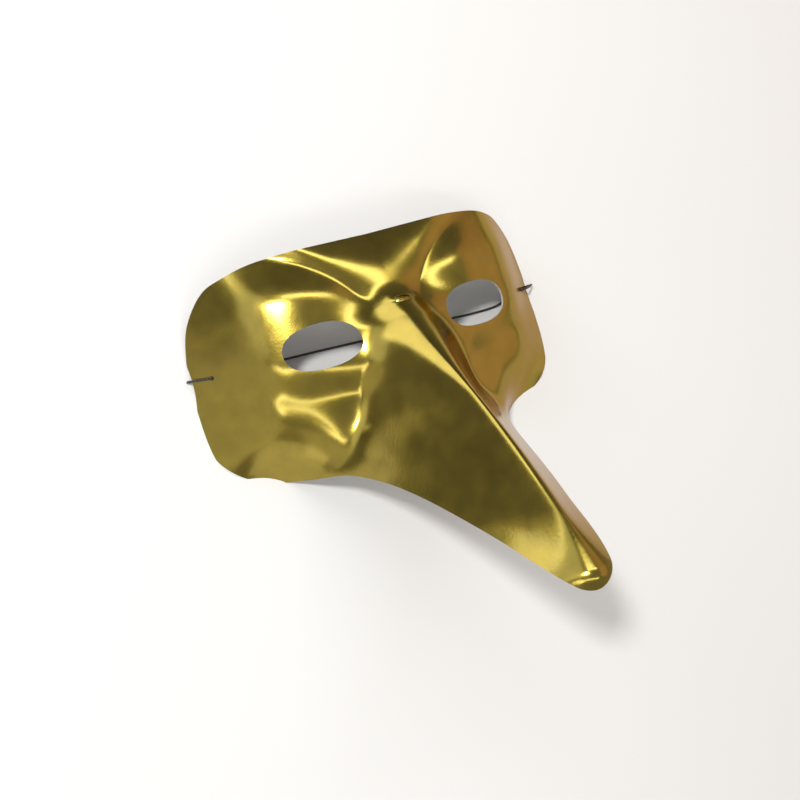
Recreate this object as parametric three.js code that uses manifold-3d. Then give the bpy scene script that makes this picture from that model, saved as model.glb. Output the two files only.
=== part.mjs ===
// Venetian mask with a long beak: one thin formed sheet, and the elastic cord that holds it on.
// Millimetres, +Z up. The mask lies face up, forehead towards +Y and beak towards -Y.
// The form is written in face coordinates: x across, y up the face and z out of it,
// all counted from the point midway between the eye holes.
import * as THREE from 'three';
import * as BufferGeometryUtils from 'three/addons/utils/BufferGeometryUtils.js';
import Module from 'manifold-3d';

const wasm = await Module();
wasm.setup();

// Where the point midway between the eye holes lies in the part
const eyePointAlong = 34.73;
const restDepth = 33;

// The sheet
const wallThickness = 0.8;
const browPlaneHeight = -3.9;
const templeBends = [
  { slope: 0.36, startsAt: 38, softness: 4 },
  { slope: 0.613, startsAt: 57.33, softness: 2.5 },
];
const jawTuck = { depth: 32.4, startsAt: -15, reach: 36, centre: 58, halfWidth: 17.5 };

// Half of the trimmed edge, from the middle of the forehead down to the beak's tip
const trimmedEdge = [
  [0, 39], [26, 39], [49.6, 39.1], [60.5, 37.1], [67.4, 34.7], [75.2, 24.8], [78.9, 12.2],
  [80.5, -6.8], [80.6, -18.6], [78.9, -30.1], [72.4, -38.3], [60.1, -45], [47, -48.6],
  [37.5, -51], [31.4, -56.6], [27.1, -63.2], [22.2, -73.5], [17.9, -83.4], [13.4, -95.5],
  [9.6, -103], [5.3, -107.3], [0, -108.9],
];
const edgePoints = 150;

// The beak: its crest runs from the nasion to the tip, and its flanks fall away like a roof
const nasion = { up: 8.3, out: 3.6, slope: 1.0 };
const beakTip = { up: -107.4, out: 92.4, slope: 0.42 };
const browDive = 0.9;
const flankSlope = 1.85;
const flankEasing = { rate: 1.6, startsAt: 0.5, softness: 0.05 };
const ridgeRound = { middle: 1.2, bridge: 13, tip: 6.5, bridgeEndsAt: 0.38, tipStartsAt: 0.75 };
const tipRollOver = { startsAt: -101, reach: 7.4, drop: 5 };

// A long rounded form is highest along its middle line, and reaches so far above and below it.
// The largest is the raised field round each eye. It ends in two long folds: the brow falls
// back above the upper one, and the sheet steps down to the plain cheek below the lower one.
const eyeField = {
  across: 34, up: 20, halfLength: 40, above: 40, below: 100, turn: 6, bow: 0, height: 6.2,
};
const upperFold = {
  farUp: 23.6, dip: 26.4, reach: 15, slope: 0.38, softness: 1.6, fadesFrom: 40, fadesTo: 90,
};
const lowerFold = {
  up: -17, climb: 0.25, slope: 0.44, softness: 1.6, fadesFrom: 45, fadesTo: 90,
};

// The small fold across the nasion, and the wing of the nostril on each flank of the beak
const nasionFold = {
  across: 0, up: 9.2, halfLength: 6.5, above: 2.2, below: 2.2, turn: 0, bow: 0, height: 8.4,
};
const nostrilWing = {
  across: 25, up: -43, halfLength: 14, above: 6, below: 6, turn: 50, bow: 0, height: 1.6,
};

// The forehead's middle is a shallow wedge that points down between the brows. It falls away
// beyond its two frown ridges, and back above a fold that is lowest in the middle.
const foreheadWedge = { height: 7, slope: 0.1, softness: 2.6 };
const frownRidge = { across: 5, up: 10, lean: 48.6, slope: 0.6 };
const foreheadFold = { up: 27, climb: 0.32, slope: 0.45 };

// Widths of the soft creases. The one beside the beak is widest at the bridge: it widens and
// narrows again with the share of the beak, and narrows too from a distance across the face.
const creaseSoftness = 1.4;
const beakCrease = {
  beak: 7, bridge: 15, widensFrom: -0.08, widensTo: 0.06, narrowsFrom: 0.1, narrowsTo: 0.35,
  fadesFrom: 15, fadesTo: 45,
};
const wingSoftness = 0.8;

// Eye holes and cord holes
const eyeHole = {
  across: 34.8, up: -0.2, halfWidth: 15.3, above: 9.2, below: 8.6, roundness: 2.33, lean: 0.09,
};
const eyeHolePoints = 36;
const cordHole = { across: 73.1, up: 1.4, radius: 0.9 };

// The edge is arched where the cord passes under it
const cordArch = { up: 3.5, radius: 60, height: 1.3 };

// The elastic cord is knotted behind each cord hole. It comes out through the hole, turns round
// the edge, and runs under the mask along the surface that the mask lies on.
const cordDiameter = 1;
const cordSides = 8;
const cordStepsPerPoint = 2;
const cordRunDepth = 32.43;
const cordFromHole = [
  [72.52, 1.4, -25.6], [73.1, 1.4, -25.06], [74.02, 1.5, -24.55], [75.05, 1.6, -24.6],
  [75.91, 1.7, -25.1], [78.4, 2.2, -27.1], [80.86, 2.8, -29.14], [81.37, 2.9, -30.15],
  [81.18, 2.9, -31.3], [80.4, 2.9, -32.15], [79.2, 2.9, -cordRunDepth],
];
const cordUnderMask = [
  [72, 1.2], [63.4, -1.6], [50, -2], [37.6, -1.4], [16, -0.8],
  [-5, -0.2], [-22, 0.6], [-40, 1.3], [-60, 2.1], [-72, 2.7],
];
const knotRadius = 1.5;
const knotSides = 10;
const knotRings = 6;
const touchingGap = 0.3;

// Spacing of the faces that the sheet is made of: bands of rows, from below the tip upwards
const blockHalfWidth = 84;
const columnsPerHalf = 24;
const columnCrowding = 1.35;
const blockBottom = -112;
const rowBands = [{ upTo: -99, rows: 7 }, { upTo: -55, rows: 8 }, { upTo: 43, rows: 34 }];

// The cutters are larger than the mask, so that they pass right through the sheet
const cutterReach = 400;
const tableThickness = 100;
const trimmingDepth = 260;
const punchDepth = 8;
const punchSides = 12;
const archSides = 128;

const gold = new THREE.MeshStandardMaterial({ color: 0x8a7526, roughness: 0.2, metalness: 1 });
const black = new THREE.MeshStandardMaterial({ color: 0x101010, roughness: 0.8, metalness: 0 });

function smoothStep(from, to, value) {
  return THREE.MathUtils.smoothstep(value, from, to);
}

function blendUp(a, b, softness) {
  return 0.5 * (a + b + Math.hypot(a - b, softness));
}

function blendDown(a, b, softness) {
  return 0.5 * (a + b - Math.hypot(a - b, softness));
}

// A ramp that stays at zero and then turns softly into a straight climb
function softRamp(value, softness) {
  const t = value / softness;
  return softness * (Math.max(t, 0) + Math.log1p(Math.exp(-Math.abs(t))));
}

// How far down the beak a height on the face is: 0 at the nasion and 1 at the tip
function shareOfBeak(y) {
  return (nasion.up - y) / (nasion.up - beakTip.up);
}

function crestHeight(y) {
  const length = nasion.up - beakTip.up;
  const share = shareOfBeak(y);
  const s = Math.min(Math.max(share, 0), 1.05);
  const start = (1 + 2 * s) * (1 - s) ** 2 * nasion.out + s * (1 - s) ** 2 * length * nasion.slope;
  const end = s * s * (3 - 2 * s) * beakTip.out + s * s * (s - 1) * length * beakTip.slope;
  return start + end - Math.max(-share, 0) * length * browDive;
}

function beakHeight(x, y) {
  const share = shareOfBeak(y);
  const easing = softRamp(share - flankEasing.startsAt, flankEasing.softness);
  const slope = flankSlope - flankEasing.rate * easing;
  const bridge = 1 - smoothStep(0, ridgeRound.bridgeEndsAt, share);
  const tip = smoothStep(ridgeRound.tipStartsAt, 1, share);
  const round = ridgeRound.middle
    + (ridgeRound.bridge - ridgeRound.middle) * bridge
    + (ridgeRound.tip - ridgeRound.middle) * tip;
  const roll = Math.max(tipRollOver.startsAt - y, 0) / tipRollOver.reach;
  return crestHeight(y) - slope * (Math.hypot(x, round) - round) - tipRollOver.drop * roll * roll;
}

// The plain sheet: flat over the nose, bent back at the temples and tucked in at the jaw
function sheetHeight(x, y) {
  let bend = 0;
  for (const { slope, startsAt, softness } of templeBends) {
    bend += slope * softRamp(x - startsAt, softness);
  }
  const tuck = Math.max(jawTuck.startsAt - y, 0) / jawTuck.reach;
  const across = Math.exp(-(((x - jawTuck.centre) / jawTuck.halfWidth) ** 2));
  return browPlaneHeight - bend - jawTuck.depth * tuck * tuck * across;
}

// A long rounded form, highest along its own curved middle line
function swellingHeight(form, x, y) {
  const turn = THREE.MathUtils.degToRad(form.turn);
  const dx = x - form.across;
  const dy = y - form.up;
  const u = (dx * Math.cos(turn) + dy * Math.sin(turn)) / form.halfLength;
  const offLine = dy * Math.cos(turn) - dx * Math.sin(turn) - form.bow * (1 - u * u);
  const v = offLine / (offLine > 0 ? form.above : form.below);
  return form.height * (1 - u * u - v * v);
}

function upperFoldFall(x, y) {
  const line = upperFold.farUp - upperFold.dip * Math.exp(-x / upperFold.reach);
  const fade = 1 - smoothStep(upperFold.fadesFrom, upperFold.fadesTo, x);
  return upperFold.slope * fade * softRamp(y - line, upperFold.softness);
}

function lowerFoldFall(x, y) {
  const line = lowerFold.up + lowerFold.climb * x;
  const fade = 1 - smoothStep(lowerFold.fadesFrom, lowerFold.fadesTo, x);
  return lowerFold.slope * fade * softRamp(line - y, lowerFold.softness);
}

function foreheadWedgeHeight(x, y) {
  const lean = THREE.MathUtils.degToRad(frownRidge.lean);
  const beyondRidge = (x - frownRidge.across) * Math.sin(lean) - (y - frownRidge.up) * Math.cos(lean);
  const aboveFold = y - foreheadFold.up - foreheadFold.climb * x;
  const middle = foreheadWedge.height - foreheadWedge.slope * (y - frownRidge.up);
  const side = middle - frownRidge.slope * beyondRidge;
  const top = middle - foreheadFold.slope * aboveFold;
  return blendDown(blendDown(middle, side, foreheadWedge.softness), top, foreheadWedge.softness);
}

function beakCreaseWidth(x, y) {
  const share = shareOfBeak(y);
  const wide = smoothStep(beakCrease.widensFrom, beakCrease.widensTo, share);
  const narrow = smoothStep(beakCrease.narrowsFrom, beakCrease.narrowsTo, share);
  const near = 1 - smoothStep(beakCrease.fadesFrom, beakCrease.fadesTo, x);
  return beakCrease.beak + (beakCrease.bridge - beakCrease.beak) * (wide - narrow) * near;
}

// The front of the sheet: every form melts into the next along a soft crease
function faceHeight(across, y) {
  const x = Math.abs(across);
  const field = swellingHeight(eyeField, x, y) - lowerFoldFall(x, y);
  let relief = blendUp(0, field, creaseSoftness) - upperFoldFall(x, y);
  relief = blendUp(relief, foreheadWedgeHeight(x, y), creaseSoftness);
  relief = blendUp(relief, swellingHeight(nasionFold, x, y), creaseSoftness);
  const wing = blendUp(0, swellingHeight(nostrilWing, x, y), wingSoftness);
  return blendUp(sheetHeight(x, y) + relief, beakHeight(x, y) + wing, beakCreaseWidth(x, y));
}

function faceNormal(x, y) {
  const step = 0.2;
  const slopeX = (faceHeight(x + step, y) - faceHeight(x - step, y)) / (2 * step);
  const slopeY = (faceHeight(x, y + step) - faceHeight(x, y - step)) / (2 * step);
  return new THREE.Vector3(-slopeX, -slopeY, 1).normalize();
}

function facePoint(x, y) {
  return new THREE.Vector3(x, y, faceHeight(x, y));
}

function toSolid(geometry) {
  const plain = geometry.clone();
  plain.deleteAttribute('normal');
  plain.deleteAttribute('uv');
  const merged = BufferGeometryUtils.mergeVertices(plain, 1e-4);
  return new wasm.Manifold(new wasm.Mesh({
    numProp: 3,
    vertProperties: Float32Array.from(merged.attributes.position.array),
    triVerts: Uint32Array.from(merged.index.array),
  }));
}

function toGeometry(solid) {
  const mesh = solid.getMesh();
  const geometry = new THREE.BufferGeometry();
  geometry.setAttribute('position', new THREE.BufferAttribute(Float32Array.from(mesh.vertProperties), 3));
  geometry.setIndex(new THREE.BufferAttribute(Uint32Array.from(mesh.triVerts), 1));
  geometry.computeVertexNormals();
  return geometry;
}

function rowHeights() {
  const heights = [blockBottom];
  for (const band of rowBands) {
    const from = heights.at(-1);
    for (let row = 1; row <= band.rows; row++) {
      heights.push(THREE.MathUtils.lerp(from, band.upTo, row / band.rows));
    }
  }
  return heights;
}

// A block of the sheet that is larger than the mask: front and back are one wall thickness apart
function sheetBlock() {
  const heights = rowHeights();
  const rows = heights.length - 1;
  const columns = 2 * columnsPerHalf;
  const front = [];
  const back = [];
  for (const y of heights) {
    for (let column = 0; column <= columns; column++) {
      const share = (column - columnsPerHalf) / columnsPerHalf;
      const x = Math.sign(share) * blockHalfWidth * Math.abs(share) ** columnCrowding;
      const point = facePoint(x, y);
      front.push(point);
      back.push(point.clone().addScaledVector(faceNormal(x, y), -wallThickness));
    }
  }
  const at = (row, column) => row * (columns + 1) + column;
  const backStart = front.length;
  const faces = [];
  const addQuad = (a, b, c, d) => faces.push(a, b, c, a, c, d);
  for (let row = 0; row < rows; row++) {
    for (let column = 0; column < columns; column++) {
      const corners = [at(row, column), at(row, column + 1), at(row + 1, column + 1), at(row + 1, column)];
      // Both halves of the face are split along mirrored diagonals
      if (column < columnsPerHalf) corners.push(corners.shift());
      const [a, b, c, d] = corners;
      addQuad(a, b, c, d);
      addQuad(a + backStart, d + backStart, c + backStart, b + backStart);
    }
  }
  const border = [];
  for (let column = 0; column < columns; column++) border.push(at(0, column));
  for (let row = 0; row < rows; row++) border.push(at(row, columns));
  for (let column = columns; column > 0; column--) border.push(at(rows, column));
  for (let row = rows; row > 0; row--) border.push(at(row, 0));
  border.forEach((corner, index) => {
    const next = border[(index + 1) % border.length];
    addQuad(corner, corner + backStart, next + backStart, next);
  });
  const geometry = new THREE.BufferGeometry().setFromPoints([...front, ...back]);
  geometry.setIndex(faces);
  return geometry;
}

function edgeOutline() {
  const half = trimmedEdge.map(([x, y]) => new THREE.Vector3(x, y, 0));
  const otherHalf = half.slice(1, -1).reverse().map((p) => new THREE.Vector3(-p.x, p.y, 0));
  const curve = new THREE.CatmullRomCurve3([...half, ...otherHalf].reverse(), true, 'centripetal');
  return curve.getSpacedPoints(edgePoints).slice(0, -1).map((p) => new THREE.Vector2(p.x, p.y));
}

function eyeOutline(side) {
  const points = [];
  const power = 2 / eyeHole.roundness;
  for (let i = 0; i < eyeHolePoints; i++) {
    const angle = (2 * Math.PI * i) / eyeHolePoints;
    const along = Math.sign(Math.cos(angle)) * Math.abs(Math.cos(angle)) ** power;
    const upwards = Math.sign(Math.sin(angle)) * Math.abs(Math.sin(angle)) ** power;
    const rise = upwards * (upwards > 0 ? eyeHole.above : eyeHole.below);
    const x = eyeHole.across + along * eyeHole.halfWidth + rise * eyeHole.lean;
    points.push(new THREE.Vector2(side * x, eyeHole.up + rise));
  }
  return points;
}

function trimmingPrism() {
  const shape = new THREE.Shape(edgeOutline());
  shape.holes = [-1, 1].map((side) => new THREE.Path(eyeOutline(side)));
  const prism = new THREE.ExtrudeGeometry(shape, { depth: trimmingDepth, bevelEnabled: false });
  prism.translate(0, 0, -trimmingDepth / 2);
  return prism;
}

function cordHoleCutter(side) {
  const punch = new THREE.CylinderGeometry(cordHole.radius, cordHole.radius, punchDepth, punchSides);
  const normal = faceNormal(side * cordHole.across, cordHole.up);
  punch.applyQuaternion(new THREE.Quaternion().setFromUnitVectors(new THREE.Vector3(0, 1, 0), normal));
  const place = facePoint(side * cordHole.across, cordHole.up);
  return punch.translate(place.x, place.y, place.z);
}

function tableCutter() {
  const table = new THREE.BoxGeometry(cutterReach, cutterReach, tableThickness);
  return table.translate(0, 0, -restDepth - tableThickness / 2);
}

function cordArchCutter() {
  const arch = new THREE.CylinderGeometry(cordArch.radius, cordArch.radius, cutterReach, archSides);
  arch.rotateZ(Math.PI / 2);
  return arch.translate(0, cordArch.up, cordArch.height - restDepth - cordArch.radius);
}

function maskShellGeometry() {
  let shell = toSolid(sheetBlock()).intersect(toSolid(trimmingPrism()));
  const cutters = [tableCutter(), cordArchCutter(), cordHoleCutter(-1), cordHoleCutter(1)];
  for (const cutter of cutters) {
    shell = shell.subtract(toSolid(cutter));
  }
  return toGeometry(shell);
}

// Its steps follow the route's points, which lie closer together where the cord bends.
// An arc is drawn with twice the curve segments it is given.
function elasticCordGeometry() {
  const fromHole = cordFromHole.map(([x, y, z]) => new THREE.Vector3(x, y, z));
  const underMask = cordUnderMask.map(([x, y]) => new THREE.Vector3(x, y, -cordRunDepth));
  const toOtherHole = fromHole.map((p) => new THREE.Vector3(-p.x, p.y, p.z)).reverse();
  const points = [...fromHole, ...underMask, ...toOtherHole];
  const route = new THREE.CatmullRomCurve3(points, false, 'centripetal');
  route.getUtoTmapping = (u) => u;
  const section = new THREE.Shape();
  section.absarc(0, 0, cordDiameter / 2, 0, 2 * Math.PI);
  return new THREE.ExtrudeGeometry(section, {
    steps: cordStepsPerPoint * (points.length - 1),
    curveSegments: cordSides / 2,
    extrudePath: route,
  });
}

// A stopper knot sits just behind the sheet, in line with the hole
function knotGeometry(side) {
  const knot = new THREE.SphereGeometry(knotRadius, knotSides, knotRings);
  const depth = wallThickness + touchingGap + knotRadius;
  const place = facePoint(side * cordHole.across, cordHole.up)
    .addScaledVector(faceNormal(side * cordHole.across, cordHole.up), -depth);
  return knot.translate(place.x, place.y, place.z);
}

function namedMesh(name, geometry, material) {
  const mesh = new THREE.Mesh(geometry, material);
  mesh.name = name;
  return mesh;
}

const mask = new THREE.Group();
mask.position.set(0, eyePointAlong, restDepth);
mask.add(
  namedMesh('mask_shell', maskShellGeometry(), gold),
  namedMesh('elastic_cord', elasticCordGeometry(), black),
  namedMesh('left_knot', knotGeometry(-1), black),
  namedMesh('right_knot', knotGeometry(1), black),
);

export default mask;
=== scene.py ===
# %% [markdown]
# # A carnival mask with a long beak
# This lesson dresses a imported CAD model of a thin, mirror-bright mask that lies on its back
# edges, with its elastic cord tucked under it. The CAD model comes in as a fixed frame.
# Each cell makes one thing: the camera, the cord, the formed sheet, its finishes, the light.

# %% Load the frame
import math

import bpy
import numpy as np
from mathutils import Matrix, Vector
from mathutils.geometry import delaunay_2d_cdt


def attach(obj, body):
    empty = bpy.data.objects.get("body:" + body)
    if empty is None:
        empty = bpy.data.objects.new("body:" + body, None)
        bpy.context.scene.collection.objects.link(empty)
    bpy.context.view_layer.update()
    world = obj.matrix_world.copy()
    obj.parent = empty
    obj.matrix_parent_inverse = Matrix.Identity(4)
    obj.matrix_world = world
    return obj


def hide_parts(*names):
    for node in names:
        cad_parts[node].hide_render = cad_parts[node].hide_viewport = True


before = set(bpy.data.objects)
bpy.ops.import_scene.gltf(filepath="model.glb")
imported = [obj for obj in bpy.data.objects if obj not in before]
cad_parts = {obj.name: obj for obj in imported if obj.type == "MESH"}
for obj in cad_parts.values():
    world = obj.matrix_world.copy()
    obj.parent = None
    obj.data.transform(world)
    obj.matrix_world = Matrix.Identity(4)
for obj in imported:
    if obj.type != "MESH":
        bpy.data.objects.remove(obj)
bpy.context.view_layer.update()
scene = bpy.context.scene
print("solids:", sorted(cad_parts))

# %% [markdown]
# ## Face coordinates
# The form of a mask is easiest to give from the point midway between the eyes: x across the
# face, y up it and z out of it, in millimetres. Blender works in metres, so one small helper
# turns a point of the face into a point of the scene.

# %% Face coordinates
MM = 0.001
EYE_POINT = np.array([0, 34.73, 33])


def to_scene(points):
    """Points in face coordinates, in millimetres, as points of the scene in metres."""
    return (np.atleast_2d(points) + EYE_POINT) * MM


print("eye point:", to_scene((0, 0, 0)).round(4).tolist())

# %% [markdown]
# ## The camera
# The photograph is taken from above and from the beak's left side, a step over half a metre
# away, and the camera is rolled so that the mask leans. A camera looks along its own -Z, so
# it starts over the face, is turned about the face's Y axis, and is then rolled about its own Z.

# %% Camera
VIEW_TURN = math.radians(-24)
VIEW_ROLL = math.radians(-17.39)
VIEW_PLACE = (-210.5, -28.7, 450.6)

lens = bpy.data.cameras.new("camera")
lens.sensor_width = 36
lens.lens = 56.25
lens.clip_start = 0.01
camera = bpy.data.objects.new("camera", lens)
turned = Matrix.Rotation(VIEW_TURN, 4, "Y") @ Matrix.Rotation(VIEW_ROLL, 4, "Z")
camera.matrix_world = Matrix.Translation(to_scene(VIEW_PLACE)[0]) @ turned
scene.collection.objects.link(camera)
scene.camera = camera
print("camera:", [round(value, 3) for value in camera.location])

# %% [markdown]
# ## Smooth lines
# Both the cord and the trimmed edge of the sheet are smooth lines through a few points.
# A centripetal Catmull-Rom spline passes through every point and never loops between them.
# The line is then stepped evenly, so that faces made along it are all the same size.


# %% Smooth lines
def smooth_line(points, closed=False, steps=24):
    """A centripetal Catmull-Rom spline through the points, as many short steps."""
    points = np.array(points, float)
    if closed:
        padded = np.vstack([points[-1:], points, points[:2]])
    else:
        padded = np.vstack([2 * points[0] - points[1], points, 2 * points[-1] - points[-2]])
    line = []
    for four in (padded[i:i + 4] for i in range(len(padded) - 3)):
        gaps = np.linalg.norm(np.diff(four, axis=0), axis=1) ** 0.5
        knots = np.concatenate([[0], np.cumsum(gaps)])
        t = np.linspace(knots[1], knots[2], steps, endpoint=False)[:, None]
        spans = list(four[:, None])
        for reach in (1, 2, 3):
            spans = [
                blend_span(spans[i], spans[i + 1], t, *span_knots(knots, i, reach))
                for i in range(4 - reach)
            ]
        line.append(spans[0])
    if not closed:
        line.append(points[-1:])
    return np.vstack(line)


def span_knots(knots, i, reach):
    """The two parameters between which a span of the spline is blended."""
    if reach == 3:
        return knots[1], knots[2]
    return knots[i], knots[i + reach]


def blend_span(a, b, t, start, end):
    return ((end - t) * a + (t - start) * b) / (end - start)


def even_steps(line, spacing):
    """The same line in steps of one length."""
    lengths = np.linalg.norm(np.diff(line, axis=0), axis=1)
    along = np.concatenate([[0], np.cumsum(lengths)])
    count = max(round(along[-1] / spacing), 1)
    marks = np.linspace(0, along[-1], count + 1)
    return np.stack([np.interp(marks, along, line[:, k]) for k in range(line.shape[1])], axis=1)


def line_length(line):
    return float(np.linalg.norm(np.diff(line, axis=0), axis=1).sum())


print("test line:", round(line_length(smooth_line([(0, 0), (1, 0), (2, 0)])), 3))

# %% [markdown]
# ## Wires
# Node trees are written here as Python expressions. A Wire holds a socket, and a sum or a
# product of wires adds the Math node that does it. One more function adds any other node,
# first with its settings and then with its values. The same class serves materials and
# Geometry Nodes, because both trees know the Math node.


# %% Wires
class Wire:
    """A value on its way through a node tree."""

    def __init__(self, tree, socket):
        self.tree = tree
        self.socket = socket

    def math(self, operation, *others):
        values = dict(enumerate((self, *others)))
        return add_node(self.tree, "ShaderNodeMath", {"operation": operation}, values)

    def other_output(self, name):
        return Wire(self.tree, self.socket.node.outputs[name])

    def __add__(self, other):
        return self.math("ADD", other)

    def __sub__(self, other):
        return self.math("SUBTRACT", other)

    def __mul__(self, other):
        return self.math("MULTIPLY", other)

    def __truediv__(self, other):
        return self.math("DIVIDE", other)

    def __neg__(self):
        return self.math("MULTIPLY", -1.0)

    def __rsub__(self, other):
        return -self + other

    __radd__ = __add__
    __rmul__ = __mul__


def add_node(tree, kind, settings=None, sockets=None, output=0):
    """Adds a node, with its settings first and then the values or wires of its sockets."""
    made = tree.nodes.new(kind)
    for name, value in (settings or {}).items():
        if name == "stops":
            set_stops(made.color_ramp, value)
        else:
            setattr(made, name, value)
    for name, value in (sockets or {}).items():
        if isinstance(value, Wire):
            tree.links.new(value.socket, made.inputs[name])
        else:
            made.inputs[name].default_value = value
    return Wire(tree, made.outputs[output]) if made.outputs else made


def set_stops(ramp, stops):
    """Gives a colour ramp its stops, each a place and a grey level."""
    while len(ramp.elements) < len(stops):
        ramp.elements.new(0.5)
    for element, (place, level) in zip(ramp.elements, stops):
        element.position = place
        element.color = (level, level, level, 1)


print("wires ready")

# %% [markdown]
# ## Growing a piece with Geometry Nodes
# A tree gets named inputs for its sizes. It is put on a simple base mesh as a modifier, each
# input is set by its socket's identifier, and the evaluated result becomes a plain mesh. The
# base and the modifier are then thrown away, so nothing live is left on the finished piece.


# %% Geometry Nodes helpers
def new_form_tree(name, inputs):
    """An empty Geometry Nodes tree, and a wire from each of its named inputs."""
    tree = bpy.data.node_groups.new(name, "GeometryNodeTree")
    faces = tree.interface
    faces.new_socket("Geometry", in_out="INPUT", socket_type="NodeSocketGeometry")
    for label, kind in inputs.items():
        faces.new_socket(label, in_out="INPUT", socket_type=kind)
    faces.new_socket("Geometry", in_out="OUTPUT", socket_type="NodeSocketGeometry")
    entry = tree.nodes.new("NodeGroupInput")
    return tree, {s.name: Wire(tree, s) for s in entry.outputs if s.name}


def end_tree(geometry):
    """Real faces only: instances are realised before the tree ends."""
    real = add_node(geometry.tree, "GeometryNodeRealizeInstances", {}, {"Geometry": geometry})
    add_node(geometry.tree, "NodeGroupOutput", {}, {"Geometry": real})


def grow_piece(name, tree, vertices, edges, faces, values):
    """Runs a tree on a base mesh, and returns the result as a plain mesh object."""
    base_mesh = bpy.data.meshes.new(name + "_base")
    base_mesh.from_pydata([tuple(v) for v in vertices], edges, faces)
    base = bpy.data.objects.new(name + "_base", base_mesh)
    scene.collection.objects.link(base)
    modifier = base.modifiers.new("form", "NODES")
    modifier.node_group = tree
    for item in tree.interface.items_tree:
        if item.in_out == "INPUT" and item.name in values:
            modifier[item.identifier] = values[item.name]
    bpy.context.view_layer.update()
    grown = base.evaluated_get(bpy.context.evaluated_depsgraph_get())
    mesh = bpy.data.meshes.new_from_object(grown)
    base.modifiers.remove(modifier)
    bpy.data.objects.remove(base)
    piece = bpy.data.objects.new(name, mesh)
    mesh.name = name
    scene.collection.objects.link(piece)
    print(name, "has", len(mesh.polygons), "faces")
    return piece


# %% [markdown]
# ## A material for the elastic
# Round elastic is black thread braided over a rubber core. Its base colour is painted with light
# and shade: a painted highlight where the threads cross and stand proud, and painted shade in the
# gaps between them. The tree that makes the cord stores how high each point of the braid stands,
# and the material reads that one attribute.


# %% Elastic material
def new_material(name):
    material = bpy.data.materials.new(name)
    material.use_nodes = True
    material.node_tree.nodes.clear()
    return material, material.node_tree


def finish_material(tree, sockets):
    surface = add_node(tree, "ShaderNodeBsdfPrincipled", {}, sockets)
    add_node(tree, "ShaderNodeOutputMaterial", {}, {"Surface": surface})


def mix_colours(tree, share, first, second):
    """A colour between two colours. Sockets 0, 6 and 7 are the node's factor and colours."""
    colours = {0: share, 6: (*first, 1), 7: (*second, 1)}
    return add_node(tree, "ShaderNodeMix", {"data_type": "RGBA"}, colours, output=2)


elastic, elastic_tree = new_material("black_braided_elastic")
# The braid's height paints light into the colour: a painted highlight on the crossings, painted shade
# in the gaps
braid = add_node(elastic_tree, "ShaderNodeAttribute", {"attribute_name": "strand"}, output=2)
finish_material(
    elastic_tree,
    {
        "Base Color": mix_colours(elastic_tree, braid, (0.004, 0.004, 0.004), (0.035, 0.034, 0.033)),
        "Roughness": 0.85 - 0.2 * braid,
        "Sheen Weight": 0.15,
    },
)
print("elastic material:", len(elastic_tree.nodes), "nodes")

# %% [markdown]
# ## The cord's round core
# The tree turns a polyline into a curve, steps it evenly, and sweeps a circle along it. The
# length along the curve and the turn round the circle are stored first, because the braid
# needs both and the swept tube no longer knows them. Sizes are named inputs, because the
# knots use the same tree.

# %% Braided cord tree: the core
braid_tree, given = new_form_tree(
    "braided_cord",
    {
        "Diameter": "NodeSocketFloat",
        "Braid depth": "NodeSocketFloat",
        "Thread pitch": "NodeSocketFloat",
        "Step": "NodeSocketFloat",
        "Threads": "NodeSocketFloat",
        "Sides": "NodeSocketInt",
        "Finish": "NodeSocketMaterial",
    },
)
core = add_node(braid_tree, "GeometryNodeMeshToCurve", {}, {"Mesh": given["Geometry"]})
core = add_node(
    braid_tree,
    "GeometryNodeResampleCurve",
    {"mode": "LENGTH"},
    {"Curve": core, "Length": given["Step"]},
)
place_on_spline = add_node(braid_tree, "GeometryNodeSplineParameter")
core = add_node(
    braid_tree,
    "GeometryNodeStoreNamedAttribute",
    {"data_type": "FLOAT", "domain": "POINT"},
    {"Geometry": core, "Name": "along", "Value": place_on_spline.other_output("Length")},
)
ring = add_node(
    braid_tree,
    "GeometryNodeCurvePrimitiveCircle",
    {"mode": "RADIUS"},
    {"Resolution": given["Sides"], "Radius": (given["Diameter"] - given["Braid depth"]) * 0.5},
)
ring = add_node(
    braid_tree,
    "GeometryNodeStoreNamedAttribute",
    {"data_type": "FLOAT", "domain": "POINT"},
    {"Geometry": ring, "Name": "around", "Value": place_on_spline.other_output("Factor")},
)
tube = add_node(
    braid_tree,
    "GeometryNodeCurveToMesh",
    {},
    {"Curve": core, "Profile Curve": ring, "Fill Caps": True},
)
print("core:", len(braid_tree.nodes), "nodes")

# %% [markdown]
# ## The braid round the core
# Two sets of threads wind round the core in opposite directions. Where sine waves of both are
# high, two threads cross and the braid stands proud, so their product, added along the
# surface's normal, is the braid. It is stored too, for the material, which paints a highlight on
# the proud crossings and shade in the gaps with it.

# %% Braided cord tree: the braid
along = add_node(
    braid_tree, "GeometryNodeInputNamedAttribute", {"data_type": "FLOAT"}, {"Name": "along"}
)
around = add_node(
    braid_tree, "GeometryNodeInputNamedAttribute", {"data_type": "FLOAT"}, {"Name": "around"}
)
winding = along / given["Thread pitch"] * (2 * math.pi)
turn = around * given["Threads"] * (2 * math.pi)
height = (turn + winding).math("SINE") * (turn - winding).math("SINE") * 0.5 + 0.5
outward = add_node(braid_tree, "GeometryNodeInputNormal")
proud = add_node(
    braid_tree,
    "ShaderNodeVectorMath",
    {"operation": "SCALE"},
    {0: outward, "Scale": height * given["Braid depth"] * 0.5},
)
tube = add_node(
    braid_tree,
    "GeometryNodeStoreNamedAttribute",
    {"data_type": "FLOAT", "domain": "POINT"},
    {"Geometry": tube, "Name": "strand", "Value": height},
)
tube = add_node(braid_tree, "GeometryNodeSetPosition", {}, {"Geometry": tube, "Offset": proud})
tube = add_node(
    braid_tree, "GeometryNodeSetMaterial", {}, {"Geometry": tube, "Material": given["Finish"]}
)
end_tree(tube)
print("braided cord tree:", len(braid_tree.nodes), "nodes")

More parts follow.
